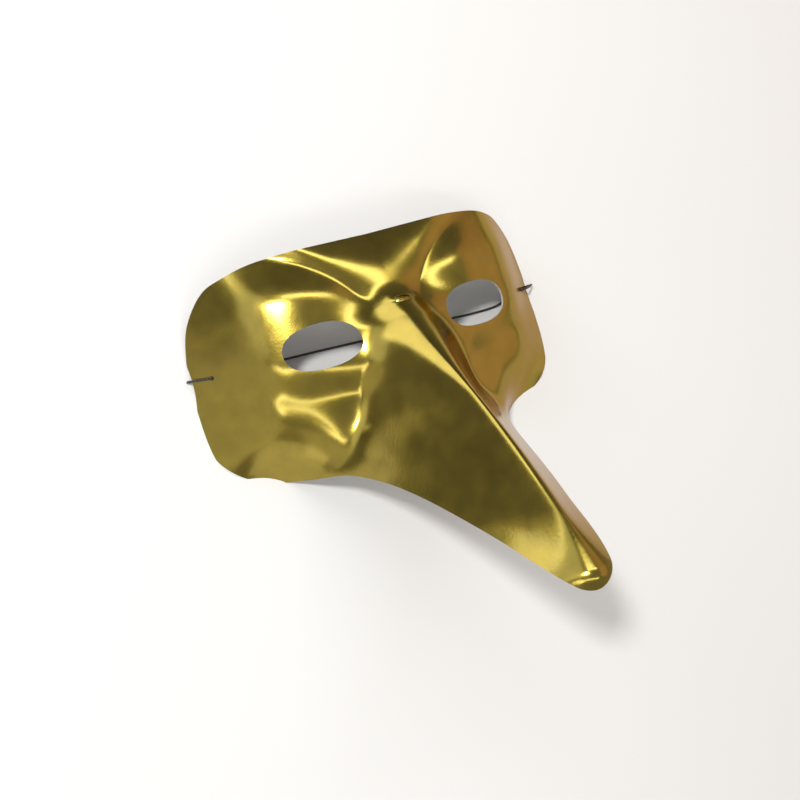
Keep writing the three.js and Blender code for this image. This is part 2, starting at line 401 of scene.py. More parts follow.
# %% [markdown]
# ## The cord's route
# The elastic is knotted behind each cord hole, comes out through the hole, turns round the
# edge and lies on the table under the mask, a little askew and a little slack, as it fell.
# The route repeats the CAD model's points, so that the soft cord lies where its solid lies.
# Its bends are as tight as a thin limp elastic allows, about twice its own thickness.

# %% Cord
CORD_DIAMETER = 1.0
CORD_RUN_DEPTH = 32.43
CORD_HOLE = np.array([73.1, 1.4, -25.07])
HOLE_NORMAL = np.array([0.729, 0.004, 0.684])
CORD_FROM_HOLE = [
    (72.52, 1.4, -25.6), (73.1, 1.4, -25.06), (74.02, 1.5, -24.55), (75.05, 1.6, -24.6),
    (75.91, 1.7, -25.1), (78.4, 2.2, -27.1), (80.86, 2.8, -29.14), (81.37, 2.9, -30.15),
    (81.18, 2.9, -31.3), (80.4, 2.9, -32.15), (79.2, 2.9, -CORD_RUN_DEPTH),
]
CORD_UNDER_MASK = [
    (72, 1.2), (63.4, -1.6), (50, -2), (37.6, -1.4), (16, -0.8),
    (-5, -0.2), (-22, 0.6), (-40, 1.3), (-60, 2.1), (-72, 2.7),
]
END_IN_KNOT = 1.5
STEPS_PER_POINT = 12
BRAID = {
    "Braid depth": 0.12 * MM,
    "Thread pitch": 3.2 * MM,
    "Step": 0.16 * MM,
    "Threads": 4.0,
    "Sides": 24,
    "Finish": elastic,
}


def other_side(points):
    """The same points on the other half of the face."""
    return np.array(points) * (-1, 1, 1)


from_hole = np.array([CORD_HOLE - HOLE_NORMAL * END_IN_KNOT, *CORD_FROM_HOLE])
under_mask = [(x, y, -CORD_RUN_DEPTH) for x, y in CORD_UNDER_MASK]
cord_points = np.vstack([from_hole, under_mask, other_side(from_hole)[::-1]])
cord_line = smooth_line(cord_points, steps=STEPS_PER_POINT)
cord_path = to_scene(cord_line)
elastic_cord = grow_piece(
    "braided_elastic",
    braid_tree,
    cord_path,
    [(i, i + 1) for i in range(len(cord_path) - 1)],
    [],
    {"Diameter": CORD_DIAMETER * MM, **BRAID},
)

# %% [markdown]
# ## The stopper knots
# A stopper knot is an overhand knot pulled tight, and its line is a trefoil: it goes round
# twice while it dips three times. Pulled tight, its turns touch. It is made with the cord's
# own tree, from a short closed line, and stands behind the sheet in line with the hole.

# %% Knots
KNOT_RADIUS = 1.5
KNOT_THREAD = 0.95
KNOT_DEPTH = 2.6
KNOT_POINTS = 120
KNOT_DIP = 1.3


def knot_line(side):
    """A small trefoil whose axis is the hole's, on the side 1 or -1 of the face."""
    normal = HOLE_NORMAL / np.linalg.norm(HOLE_NORMAL) * (side, 1, 1)
    first = np.cross(normal, (0, 1, 0))
    second = np.cross(normal, first)
    t = np.linspace(0, 2 * math.pi, KNOT_POINTS, endpoint=False)[:, None]
    size = (KNOT_RADIUS - KNOT_THREAD / 2) / 3
    flat = (np.sin(t) + 2 * np.sin(2 * t)) * first + (np.cos(t) - 2 * np.cos(2 * t)) * second
    dips = -np.sin(3 * t) * normal
    centre = CORD_HOLE * (side, 1, 1) - normal * KNOT_DEPTH
    return centre + size * flat + KNOT_DIP * size * dips


def make_knot(name, side):
    points = to_scene(knot_line(side))
    ring_edges = [(i, (i + 1) % len(points)) for i in range(len(points))]
    sizes = {"Diameter": KNOT_THREAD * MM, **BRAID}
    return grow_piece(name, braid_tree, points, ring_edges, [], sizes)


left_stopper = make_knot("left_stopper", -1)
right_stopper = make_knot("right_stopper", 1)
for piece, node_name in (
    (elastic_cord, "elastic_cord"),
    (left_stopper, "left_knot"),
    (right_stopper, "right_knot"),
):
    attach(piece, "root")
    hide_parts(node_name)
print("cord declared")

# %% [markdown]
# ## Sums that work on numbers and on wires
# The form of the face is one formula. It is needed twice: by Geometry Nodes, which lift
# the sheet with it, and by plain Python, which trims the edge where it meets the table. These
# small functions accept a wire or an array, so that the formula is written only once.


# %% Functions for both
def larger(a, b):
    return a.math("MAXIMUM", b) if isinstance(a, Wire) else np.maximum(a, b)


def smaller(a, b):
    return a.math("MINIMUM", b) if isinstance(a, Wire) else np.minimum(a, b)


def size_of(a):
    return a.math("ABSOLUTE") if isinstance(a, Wire) else np.abs(a)


def root(a):
    return a.math("SQRT") if isinstance(a, Wire) else np.sqrt(a)


def exponential(a):
    return a.math("EXPONENT") if isinstance(a, Wire) else np.exp(a)


def natural_log(a):
    return a.math("LOGARITHM", math.e) if isinstance(a, Wire) else np.log(a)


def smooth_step(start, end, value):
    share = smaller(larger((value - start) * (1 / (end - start)), 0), 1)
    return share * share * (3 - 2 * share)


def blend_up(a, b, softness):
    """The higher of two surfaces, with a soft crease where they meet."""
    gap = a - b
    return (a + b + root(gap * gap + softness * softness)) * 0.5


def blend_down(a, b, softness):
    """The lower of two surfaces, with a soft ridge where they meet."""
    gap = a - b
    return (a + b - root(gap * gap + softness * softness)) * 0.5


def soft_ramp(value, softness):
    """Stays at zero and then turns softly into a straight climb."""
    t = value * (1 / softness)
    return softness * (larger(t, 0) + natural_log(1 + exponential(-size_of(t))))


print("soft ramp at 0:", round(float(soft_ramp(np.array(0.0), 1.0)), 3))

# %% [markdown]
# ## The form of the face: the plain sheet
# The mask is a sheet, so one height above each point of the face says it all. That height is
# the highest of a few simple forms, with a soft crease wherever one rises out of another.
# Each form has its own sizes and its own short function, so that it can be changed alone.
# The first is the plain sheet: it bends back towards the temples in two steps, because a face
# turns away there, and it tucks in at the jaw.

# %% Plain sheet
BROW_PLANE = -3.9
TEMPLE_BENDS = [
    {"slope": 0.36, "starts_at": 38, "softness": 4.0},
    {"slope": 0.613, "starts_at": 57.33, "softness": 2.5},
]
JAW_TUCK = {"depth": 32.4, "starts_at": -15, "reach": 36, "centre": 58, "half_width": 17.5}


def sheet_height(x, y):
    bend = 0
    for step in TEMPLE_BENDS:
        bend = step["slope"] * soft_ramp(x - step["starts_at"], step["softness"]) + bend
    tuck = larger(JAW_TUCK["starts_at"] - y, 0) * (1 / JAW_TUCK["reach"])
    off_centre = (x - JAW_TUCK["centre"]) * (1 / JAW_TUCK["half_width"])
    across = exponential(-(off_centre * off_centre))
    return BROW_PLANE - bend - tuck * tuck * across * JAW_TUCK["depth"]


def height_at(form, x, y):
    """One height in millimetres, to print."""
    return round(float(form(np.array(x, float), np.array(y, float))), 2)


print("plain sheet at the temple:", height_at(sheet_height, 75, 0))

# %% [markdown]
# ## The field round the eye
# A wide low hill lies round each eye. It ends in two long folds, which catch the light as
# bright lines: the brow falls back above the upper one, and the sheet steps down to the plain
# cheek below the lower one. A fold is a line across the face from which a soft ramp falls,
# and it fades out towards the temple.

# %% Field round the eye
CREASE = 1.4
EYE_FIELD = {
    "across": 34, "up": 20, "half_length": 40, "above": 40, "below": 100, "turn": 6, "height": 6.2,
}
UPPER_FOLD = {
    "far_up": 23.6, "dip": 26.4, "reach": 15, "slope": 0.38, "softness": 1.6,
    "fades_from": 40, "fades_to": 90,
}
LOWER_FOLD = {
    "up": -17, "climb": 0.25, "slope": 0.44, "softness": 1.6,
    "fades_from": 45, "fades_to": 90,
}


def hill_height(form, x, y):
    """A long rounded form, highest along its middle line, and turned by some degrees."""
    dx = x - form["across"]
    dy = y - form["up"]
    cosine = math.cos(math.radians(form["turn"]))
    sine = math.sin(math.radians(form["turn"]))
    u = (dx * cosine + dy * sine) * (1 / form["half_length"])
    off_line = dy * cosine - dx * sine
    v = larger(off_line, 0) * (1 / form["above"]) + smaller(off_line, 0) * (1 / form["below"])
    return (1 - u * u - v * v) * form["height"]


def upper_fold_fall(x, y):
    """How far the brow has fallen back above the fold over the eye."""
    line = UPPER_FOLD["far_up"] - UPPER_FOLD["dip"] * exponential(x * (-1 / UPPER_FOLD["reach"]))
    fade = 1 - smooth_step(UPPER_FOLD["fades_from"], UPPER_FOLD["fades_to"], x)
    return UPPER_FOLD["slope"] * fade * soft_ramp(y - line, UPPER_FOLD["softness"])


def lower_fold_fall(x, y):
    """How far the sheet has dropped below the fold under the eye."""
    line = LOWER_FOLD["up"] + LOWER_FOLD["climb"] * x
    fade = 1 - smooth_step(LOWER_FOLD["fades_from"], LOWER_FOLD["fades_to"], x)
    return LOWER_FOLD["slope"] * fade * soft_ramp(line - y, LOWER_FOLD["softness"])


def eye_relief(x, y):
    field = hill_height(EYE_FIELD, x, y) - lower_fold_fall(x, y)
    return blend_up(field, 0, CREASE) - upper_fold_fall(x, y)


print("relief over the eye:", height_at(eye_relief, 35, 14))

# %% [markdown]
# ## The forehead's middle
# Between the brows lies a shallow wedge that points down. Beyond its two frown ridges it falls
# away, and above a fold that crosses it, it falls back: each fall is a slope, and the wedge is
# the lowest of them. A small fold across the bridge of the nose is one more hill.

# %% Forehead's middle
WEDGE = {"height": 7, "slope": 0.1, "softness": 2.6}
FROWN_RIDGE = {"across": 5, "up": 10, "lean": math.radians(48.6), "slope": 0.6}
FOREHEAD_FOLD = {"up": 27, "climb": 0.32, "slope": 0.45}
NASION_FOLD = {
    "across": 0, "up": 9.2, "half_length": 6.5, "above": 2.2, "below": 2.2, "turn": 0, "height": 8.4,
}


def wedge_height(x, y):
    """The forehead's middle: it points down between the brows, and a fold crosses it."""
    across, up = x - FROWN_RIDGE["across"], y - FROWN_RIDGE["up"]
    beyond_ridge = across * math.sin(FROWN_RIDGE["lean"]) - up * math.cos(FROWN_RIDGE["lean"])
    above_fold = y - FOREHEAD_FOLD["up"] - FOREHEAD_FOLD["climb"] * x
    middle = WEDGE["height"] - WEDGE["slope"] * up
    side = middle - FROWN_RIDGE["slope"] * beyond_ridge
    top = middle - FOREHEAD_FOLD["slope"] * above_fold
    return blend_down(blend_down(middle, side, WEDGE["softness"]), top, WEDGE["softness"])


print("wedge over the bridge:", height_at(wedge_height, 0, 20))

# %% [markdown]
# ## The beak's crest
# Seen from the side, the crest of the beak is one long curve from the bridge of the nose to
# the tip. A cubic Hermite curve is given by two ends and the slopes there, which are exactly
# what can be read from a profile. Above the bridge the crest dives under the brow.

# %% Beak's crest
NASION = {"up": 8.3, "out": 3.6, "slope": 1.0}
BEAK_TIP = {"up": -107.4, "out": 92.4, "slope": 0.42}
BROW_DIVE = 0.9
PAST_TIP = 1.05


def share_of_beak(y):
    """How far down the beak a height on the face is: 0 at the nasion and 1 at the tip."""
    return (NASION["up"] - y) * (1 / (NASION["up"] - BEAK_TIP["up"]))


def crest_height(y):
    length = NASION["up"] - BEAK_TIP["up"]
    share = share_of_beak(y)
    s = smaller(larger(share, 0), PAST_TIP)
    rest = 1 - s
    start = (1 + 2 * s) * rest * rest * NASION["out"] + s * rest * rest * (length * NASION["slope"])
    end = s * s * (3 - 2 * s) * BEAK_TIP["out"] - s * s * rest * (length * BEAK_TIP["slope"])
    return start + end + smaller(share, 0) * (length * BROW_DIVE)


print("crest at the tip:", round(float(crest_height(np.array(BEAK_TIP["up"]))), 2))

# %% [markdown]
# ## The beak's flanks
# The flanks fall from the crest like a roof, a little less steeply towards the tip. The ridge
# is rounded, most of all at the bridge, and the tip rolls over. A low hill on each flank is
# the wing of the nostril. The crease where the beak meets the face is widest at the bridge.

# %% Beak's flanks
FLANK = {"slope": 1.85, "easing": 1.6, "starts_at": 0.5, "softness": 0.05}
RIDGE_ROUND = {"middle": 1.2, "bridge": 13, "tip": 6.5, "bridge_ends": 0.38, "tip_starts": 0.75}
TIP_ROLL = {"starts_at": -101, "reach": 7.4, "drop": 5}
NOSTRIL_WING = {
    "across": 25, "up": -43, "half_length": 14, "above": 6, "below": 6, "turn": 50, "height": 1.6,
}
WING_CREASE = 0.8
BEAK_CREASE = {
    "beak": 7, "bridge": 15, "widens_from": -0.08, "widens_to": 0.06,
    "narrows_from": 0.1, "narrows_to": 0.35, "fades_from": 15, "fades_to": 45,
}


def beak_height(x, y):
    share = share_of_beak(y)
    slope = FLANK["slope"] - FLANK["easing"] * soft_ramp(share - FLANK["starts_at"], FLANK["softness"])
    bridge = 1 - smooth_step(0, RIDGE_ROUND["bridge_ends"], share)
    tip = smooth_step(RIDGE_ROUND["tip_starts"], 1, share)
    middle = RIDGE_ROUND["middle"]
    rounding = middle + (RIDGE_ROUND["bridge"] - middle) * bridge + (RIDGE_ROUND["tip"] - middle) * tip
    roll = larger(TIP_ROLL["starts_at"] - y, 0) * (1 / TIP_ROLL["reach"])
    fall = slope * (root(x * x + rounding * rounding) - rounding)
    return crest_height(y) - fall - TIP_ROLL["drop"] * roll * roll


def beak_crease(x, y):
    """How wide the crease beside the beak is."""
    share = share_of_beak(y)
    wide = smooth_step(BEAK_CREASE["widens_from"], BEAK_CREASE["widens_to"], share)
    narrow = smooth_step(BEAK_CREASE["narrows_from"], BEAK_CREASE["narrows_to"], share)
    near = 1 - smooth_step(BEAK_CREASE["fades_from"], BEAK_CREASE["fades_to"], x)
    widening = BEAK_CREASE["bridge"] - BEAK_CREASE["beak"]
    return BEAK_CREASE["beak"] + widening * (wide - narrow) * near


print("flank beside the crest:", height_at(beak_height, 10, -60))

# %% [markdown]
# ## The whole face
# The relief is laid on the plain sheet, and the beak rises out of both. The face is the same
# on both sides, so only the distance from its middle line counts. The check at the end is
# worth having: the cord's route is listed point by point, and the sheet has to meet it at the hole.


# %% Whole face
def face_height(across, y):
    """How far the front of the sheet stands out of the face, in millimetres."""
    x = size_of(across)
    relief = blend_up(eye_relief(x, y), wedge_height(x, y), CREASE)
    relief = blend_up(relief, hill_height(NASION_FOLD, x, y), CREASE)
    wing = blend_up(hill_height(NOSTRIL_WING, x, y), 0, WING_CREASE)
    return blend_up(sheet_height(x, y) + relief, beak_height(x, y) + wing, beak_crease(x, y))


hole_x, hole_y, hole_z = CORD_HOLE
print("height at the cord hole:", height_at(face_height, hole_x, hole_y), "against", hole_z)

# %% [markdown]
# ## The trimmed edge
# After forming, the sheet is trimmed to its outline and punched for the eyes and the cord.
# Half of the outline is given and the other half is its mirror image. Where the outline
# would hang below the table, each of its points is moved inwards until the sheet there is
# just at the table, or at the low arch that is cut to let the cord pass.

# %% Trimmed edge
REST_DEPTH = EYE_POINT[2]
EDGE_STEP = 0.7
EDGE_CURVE_STEPS = 40
MOVED_TOWARDS = np.array([0, -10])
MOVED_AT_MOST = 0.2
HALVINGS = 30
CORD_ARCH = {"up": 3.5, "radius": 60, "height": 1.3}
HALF_EDGE = [
    (0, 39), (26, 39), (49.6, 39.1), (60.5, 37.1), (67.4, 34.7), (75.2, 24.8), (78.9, 12.2),
    (80.5, -6.8), (80.6, -18.6), (78.9, -30.1), (72.4, -38.3), (60.1, -45), (47, -48.6),
    (37.5, -51), (31.4, -56.6), (27.1, -63.2), (22.2, -73.5), (17.9, -83.4), (13.4, -95.5),
    (9.6, -103), (5.3, -107.3), (0, -108.9),
]


def lowest_allowed(y):
    """The table's height in face coordinates, raised where the cord passes under the edge."""
    off_arch = y - CORD_ARCH["up"]
    arch = CORD_ARCH["height"] - off_arch * off_arch * (0.5 / CORD_ARCH["radius"])
    return larger(arch, 0) - REST_DEPTH


def edge_line():
    """Half of the outline, from the middle of the forehead to the beak's tip."""
    mirrored = [(-x, y) for x, y in HALF_EDGE[-2:0:-1]]
    closed = smooth_line(HALF_EDGE + mirrored, closed=True, steps=EDGE_CURVE_STEPS)
    half = closed[:(len(HALF_EDGE) - 1) * EDGE_CURVE_STEPS + 1]
    line = even_steps(half, EDGE_STEP)
    line[[0, -1], 0] = 0
    inwards = MOVED_TOWARDS - line
    low, high = np.zeros(len(line)), np.full(len(line), MOVED_AT_MOST)
    hangs = face_height(line[:, 0], line[:, 1]) < lowest_allowed(line[:, 1])
    for _ in range(HALVINGS):
        share = (low + high) / 2
        moved = line + inwards * share[:, None]
        below = face_height(moved[:, 0], moved[:, 1]) < lowest_allowed(moved[:, 1])
        low, high = np.where(below, share, low), np.where(below, high, share)
    return np.where(hangs[:, None], line + inwards * high[:, None], line)


trimmed_edge = edge_line()
print("edge:", len(trimmed_edge), "points on each half")

# %% [markdown]
# ## The holes
# The eye holes are rounded slots with full corners: a superellipse, whose power sets how
# square it is. The cord holes are round in the sheet, which leans there, so seen along the
# face they are ellipses, narrowed by the lean.

# %% Holes
EYE_HOLE = {
    "across": 34.8, "up": -0.2, "half_width": 15.3, "above": 9.2, "below": 8.6,
    "roundness": 2.33, "lean": 0.09,
}
EYE_CURVE_POINTS = 720
CORD_HOLE_RADIUS = 0.9
CORD_HOLE_POINTS = 20


def eye_line():
    angle = np.linspace(0, 2 * math.pi, EYE_CURVE_POINTS, endpoint=False)
    power = 2 / EYE_HOLE["roundness"]
    across = np.sign(np.cos(angle)) * np.abs(np.cos(angle)) ** power
    rise = np.sign(np.sin(angle)) * np.abs(np.sin(angle)) ** power
    rise = rise * np.where(rise > 0, EYE_HOLE["above"], EYE_HOLE["below"])
    x = EYE_HOLE["across"] + across * EYE_HOLE["half_width"] + rise * EYE_HOLE["lean"]
    outline = np.stack([x, EYE_HOLE["up"] + rise], axis=1)
    return even_steps(np.vstack([outline, outline[:1]]), EDGE_STEP)[:-1]


def cord_hole_line():
    angle = np.linspace(0, 2 * math.pi, CORD_HOLE_POINTS, endpoint=False)
    x = CORD_HOLE[0] + CORD_HOLE_RADIUS * HOLE_NORMAL[2] * np.cos(angle)
    return np.stack([x, CORD_HOLE[1] + CORD_HOLE_RADIUS * np.sin(angle)], axis=1)


eye_hole, cord_hole = eye_line(), cord_hole_line()
print("eye hole:", len(eye_hole), "points")

# %% [markdown]
# ## Inside or outside
# The sheet is what lies inside the outline and outside the holes. A point lies inside a loop
# when a line from it crosses the loop an odd number of times, however bent the loop is. A
# point that lies too close to a loop would make a thin triangle there, so its distance is
# wanted as well.


# %% Inside or outside
def sides_of(loop):
    return zip(loop, np.roll(loop, -1, axis=0))


def distance_to_loop(points, loop):
    """The distance of each point to the nearest side of a closed loop."""
    nearest = np.full(len(points), np.inf)
    for a, b in sides_of(loop):
        side = b - a
        share = np.clip((points - a) @ side / (side @ side), 0, 1)
        nearest = np.minimum(nearest, np.linalg.norm(points - a - share[:, None] * side, axis=1))
    return nearest


def inside_loop(points, loop):
    """A point is inside a loop when a line from it crosses the loop an odd number of times."""
    crossings = np.zeros(len(points), int)
    for a, b in sides_of(loop):
        if a[1] == b[1]:
            continue
        spans = (a[1] > points[:, 1]) != (b[1] > points[:, 1])
        crossing_x = a[0] + (points[:, 1] - a[1]) * (b[0] - a[0]) / (b[1] - a[1])
        crossings += spans & (points[:, 0] < crossing_x)
    return crossings % 2 == 1


def on_sheet(points, outline):
    in_hole = inside_loop(points, eye_hole) | inside_loop(points, cord_hole)
    return inside_loop(points, outline) & ~in_hole


centre_of_eye = np.array([[EYE_HOLE["across"], EYE_HOLE["up"]]])
print("middle of the eye inside its hole:", bool(inside_loop(centre_of_eye, eye_hole)[0]))

# %% [markdown]
# ## The flat sheet
# Half of the flat sheet is filled with points, and a constrained Delaunay triangulation joins
# them to the edge and the holes without a step. A boolean cut would leave long thin faces
# along the edge, which a mirror finish would show. Beside the crest the points stand closer
# and in straight columns, so that the ridge stays a clean line. The half is then mirrored.

# %% Flat sheet
GRID_STEP = 0.8
CREST_STEP = 0.4
CREST_BAND = 6.0
EDGE_CLEARANCE = 0.4
SHEET_BOTTOM = -109
SHEET_TOP = 40
GRID_COLUMNS = 95
SAME_POINT = 1e-7
ON_MIDDLE = 1e-6


def filling_points():
    """Straight columns beside the crest, and a staggered grid over the rest of the half."""
    crest_rows = np.arange(SHEET_BOTTOM, SHEET_TOP, GRID_STEP)
    crest = [(x, y) for y in crest_rows for x in np.arange(CREST_STEP, CREST_BAND, CREST_STEP)]
    rows = np.arange(SHEET_BOTTOM, SHEET_TOP, GRID_STEP * math.sqrt(3) / 2)
    grid = [
        (CREST_BAND + (row % 2) * GRID_STEP / 2 + column * GRID_STEP, y)
        for row, y in enumerate(rows)
        for column in range(GRID_COLUMNS)
    ]
    return np.array(crest + grid)


def flat_half():
    """Triangles of the sheet's half with x above 0, before it is formed."""
    middle_y = np.arange(SHEET_BOTTOM, SHEET_TOP, GRID_STEP)
    low, high = trimmed_edge[-1, 1] + EDGE_CLEARANCE, trimmed_edge[0, 1] - EDGE_CLEARANCE
    middle_y = middle_y[(middle_y > low) & (middle_y < high)]
    middle = np.stack([np.zeros(len(middle_y)), middle_y], axis=1)
    outline = np.vstack([trimmed_edge, middle])[::-1]
    loops = [outline, eye_hole, cord_hole]
    filling = filling_points()
    filling = filling[on_sheet(filling, outline)]
    room = np.min([distance_to_loop(filling, loop) for loop in loops], axis=0)
    points = np.vstack([*loops, filling[room > EDGE_CLEARANCE]])
    edges = []
    for loop in loops:
        first = edges[-1][0] + 1 if edges else 0
        edges += [(first + i, first + (i + 1) % len(loop)) for i in range(len(loop))]
    inside_only = 1
    made = delaunay_2d_cdt([Vector(p) for p in points], edges, [], inside_only, SAME_POINT)
    corners = np.array([tuple(v) for v in made[0]])
    faces = np.array([list(face) for face in made[2]])
    return corners, faces[on_sheet(corners[faces].mean(axis=1), outline)]


def flat_sheet():
    """Both halves, joined along the middle line, with every face looking up."""
    half, faces = flat_half()
    a, b, c = half[faces[:, 0]], half[faces[:, 1]], half[faces[:, 2]]
    area = (b - a)[:, 0] * (c - a)[:, 1] - (b - a)[:, 1] * (c - a)[:, 0]
    faces[area < 0] = faces[area < 0][:, ::-1]
    count = len(half)
    on_middle = np.abs(half[:, 0]) < ON_MIDDLE
    half[on_middle, 0] = 0
    twin = np.where(on_middle, np.arange(count), count + np.cumsum(~on_middle) - 1)
    points = np.vstack([half, half[~on_middle] * (-1, 1)])
    all_faces = np.vstack([faces, twin[faces][:, ::-1]])
    return np.column_stack([points, np.zeros(len(points))]), all_faces.tolist()


sheet_points, sheet_faces = flat_sheet()
print("flat sheet:", len(sheet_points), "points,", len(sheet_faces), "triangles")

# %% [markdown]
# ## Gold foil on plastic
# The front is a clear yellow lacquer over a mirror of metal, so it is a metal with a yellow
# base colour under a thin clear coat. A formed sheet is never quite even: it waves gently
# over a centimetre or two, is faintly pebbled by the mould, and is less shiny where it was
# handled. The waves and pebbles are noise through Bump nodes, on Object coordinates.


# %% Gold material
def noise(tree, place, scale, detail=2.0):
    return add_node(
        tree,
        "ShaderNodeTexNoise",
        {"noise_dimensions": "3D"},
        {"Vector": place, "Scale": scale, "Detail": detail},
    )


def bump(tree, height, distance, strength, normal=None):
    values = {"Height": height, "Distance": distance, "Strength": strength}
    if normal is not None:
        values["Normal"] = normal
    return add_node(tree, "ShaderNodeBump", {}, values)


GOLD_WORN = (0.30, 0.228, 0.036)
GOLD_FRESH = (0.345, 0.262, 0.043)
WAVE_HEIGHT = 0.6 * MM
PEBBLE_HEIGHT = 0.04 * MM

gold, gold_tree = new_material("gold_foil_front")
place = add_node(gold_tree, "ShaderNodeTexCoord").other_output("Object")
waves = noise(gold_tree, place, scale=55.0, detail=1.0)
pebbles = noise(gold_tree, place, scale=900.0)
wear = noise(gold_tree, place, scale=120.0, detail=4.0)
waved = bump(gold_tree, waves, WAVE_HEIGHT, strength=0.5)
gold_tone = add_node(
    gold_tree, "ShaderNodeValToRGB", {"stops": [(0.35, 0.0), (0.65, 1.0)]}, {"Fac": wear}
)
finish_material(
    gold_tree,
    {
        "Base Color": mix_colours(gold_tree, gold_tone, GOLD_WORN, GOLD_FRESH),
        "Metallic": 1.0,
        "Specular Tint": (0.7, 0.48, 0.3, 1.0),
        "Roughness": 0.16 + 0.1 * wear,
        "Coat Weight": 0.35,
        "Coat Roughness": 0.1,
        "Normal": bump(gold_tree, pebbles, PEBBLE_HEIGHT, strength=0.5, normal=waved),
    },
)
print("gold material:", len(gold_tree.nodes), "nodes")

# %% [markdown]
# ## The bare back and the cut edge
# The foil is on one side only. The back is the bare plastic, a plain pale grey with the dull
# grain that the sheet was rolled with, and the cut edge shows the same plastic.

# %% Back material
BACK_DARK = (0.30, 0.29, 0.27)
BACK_PALE = (0.40, 0.39, 0.36)
GRAIN_HEIGHT = 0.06 * MM

bare, bare_tree = new_material("bare_plastic_back")
place = add_node(bare_tree, "ShaderNodeTexCoord").other_output("Object")
grain = noise(bare_tree, place, scale=1400.0, detail=3.0)
stain = noise(bare_tree, place, scale=30.0, detail=3.0)
finish_material(
    bare_tree,
    {
        "Base Color": mix_colours(bare_tree, stain, BACK_DARK, BACK_PALE),
        "Roughness": 0.5 + 0.2 * stain,
        "Normal": bump(bare_tree, grain, GRAIN_HEIGHT, strength=0.6),
    },
)
print("back material:", len(bare_tree.nodes), "nodes")

# %% [markdown]
# ## Forming the front
# The tree does what the forming press does: it lifts every point of the flat sheet to the
# height that the formula gives. The formula runs here as a few hundred Math nodes, because
# its functions are handed wires instead of numbers.

# %% Formed sheet tree: the front
form_tree, given = new_form_tree(
    "formed_sheet",
    {
        "Thickness": "NodeSocketFloat",
        "Sharp above": "NodeSocketFloat",
        "Front finish": "NodeSocketMaterial",
        "Back finish": "NodeSocketMaterial",
    },
)


def split(tree):
    """The x, y and z of every point, as three wires in face coordinates."""
    position = add_node(tree, "GeometryNodeInputPosition")
    parts = add_node(tree, "ShaderNodeSeparateXYZ", {}, {"Vector": position})
    axes = [parts, parts.other_output("Y"), parts.other_output("Z")]
    return [axis * (1 / MM) - float(offset) for axis, offset in zip(axes, EYE_POINT)]


def lift(tree, geometry, x, y, z):
    """Moves every point to a place that is given in face coordinates."""
    axes = [(value + float(offset)) * MM for value, offset in zip((x, y, z), EYE_POINT)]
    joined = add_node(tree, "ShaderNodeCombineXYZ", {}, dict(zip("XYZ", axes)))
    return add_node(
        tree, "GeometryNodeSetPosition", {}, {"Geometry": geometry, "Position": joined}
    )


x, y, z = split(form_tree)
front = lift(form_tree, given["Geometry"], x, y, face_height(x, y))
print("front:", len(form_tree.nodes), "nodes")

# %% [markdown]
# ## Giving the sheet its wall
# The faces of the front are extruded backwards along their normals, turned round and joined
# to the front, so that the wall has one thickness all over. The part of the wall that would
# pass the table is cut off level with it. Edges sharper than the crease angle stay sharp.

# %% Formed sheet tree: the wall
JOINING_DISTANCE = 0.002 * MM

backwards = add_node(
    form_tree,
    "ShaderNodeVectorMath",
    {"operation": "SCALE"},
    {0: add_node(form_tree, "GeometryNodeInputNormal"), "Scale": -given["Thickness"]},
)
wall = add_node(
    form_tree,
    "GeometryNodeExtrudeMesh",
    {"mode": "FACES"},
    {"Mesh": front, "Offset": backwards, "Offset Scale": 1.0, "Individual": False},
)
x, y, z = split(form_tree)
wall = lift(form_tree, wall, x, y, larger(z, lowest_allowed(y)))
wall = add_node(form_tree, "GeometryNodeFlipFaces", {}, {"Mesh": wall})
wall = add_node(
    form_tree, "GeometryNodeSetMaterial", {}, {"Geometry": wall, "Material": given["Back finish"]}
)
front = add_node(
    form_tree, "GeometryNodeSetMaterial", {}, {"Geometry": front, "Material": given["Front finish"]}
)
both = add_node(form_tree, "GeometryNodeJoinGeometry", {}, {"Geometry": front})
form_tree.links.new(wall.socket, both.socket.node.inputs[0])
closed = add_node(
    form_tree, "GeometryNodeMergeByDistance", {}, {"Geometry": both, "Distance": JOINING_DISTANCE}
)
angle = add_node(form_tree, "GeometryNodeInputMeshEdgeAngle")
closed = add_node(
    form_tree,
    "GeometryNodeSetShadeSmooth",
    {"domain": "EDGE"},
    {
        "Geometry": closed,
        "Selection": angle.math("GREATER_THAN", given["Sharp above"]),
        "Shade Smooth": False,
    },
)
end_tree(closed)
print("formed sheet tree:", len(form_tree.nodes), "nodes")

# %% [markdown]
# ## The mask
# The flat sheet is laid on the table under its place, and the tree forms it.

# %% Mask
WALL_THICKNESS = 0.8
SHARP_ANGLE = math.radians(40)

mask = grow_piece(
    "formed_mask",
    form_tree,
    (sheet_points + (0, EYE_POINT[1], 0)) * MM,
    [],
    sheet_faces,
    {
        "Thickness": WALL_THICKNESS * MM,
        "Sharp above": SHARP_ANGLE,
        "Front finish": gold,
        "Back finish": bare,
    },
)
mask_points = np.array([tuple(v.co) for v in mask.data.vertices]) / MM
print("mask box in mm:", mask_points.min(0).round(2), mask_points.max(0).round(2))

# %% [markdown]
# ## Exact normals
# A mirror shows every small error in the direction of a face, and averaged normals make its
# reflections ripple. The formula knows the true direction at every point, so the front takes
# its normals from there. The finished mesh then replaces the faceted solid. It keeps the
# solid's form, because both follow the same sizes.

# %% Exact normals
SLOPE_STEP = 0.05


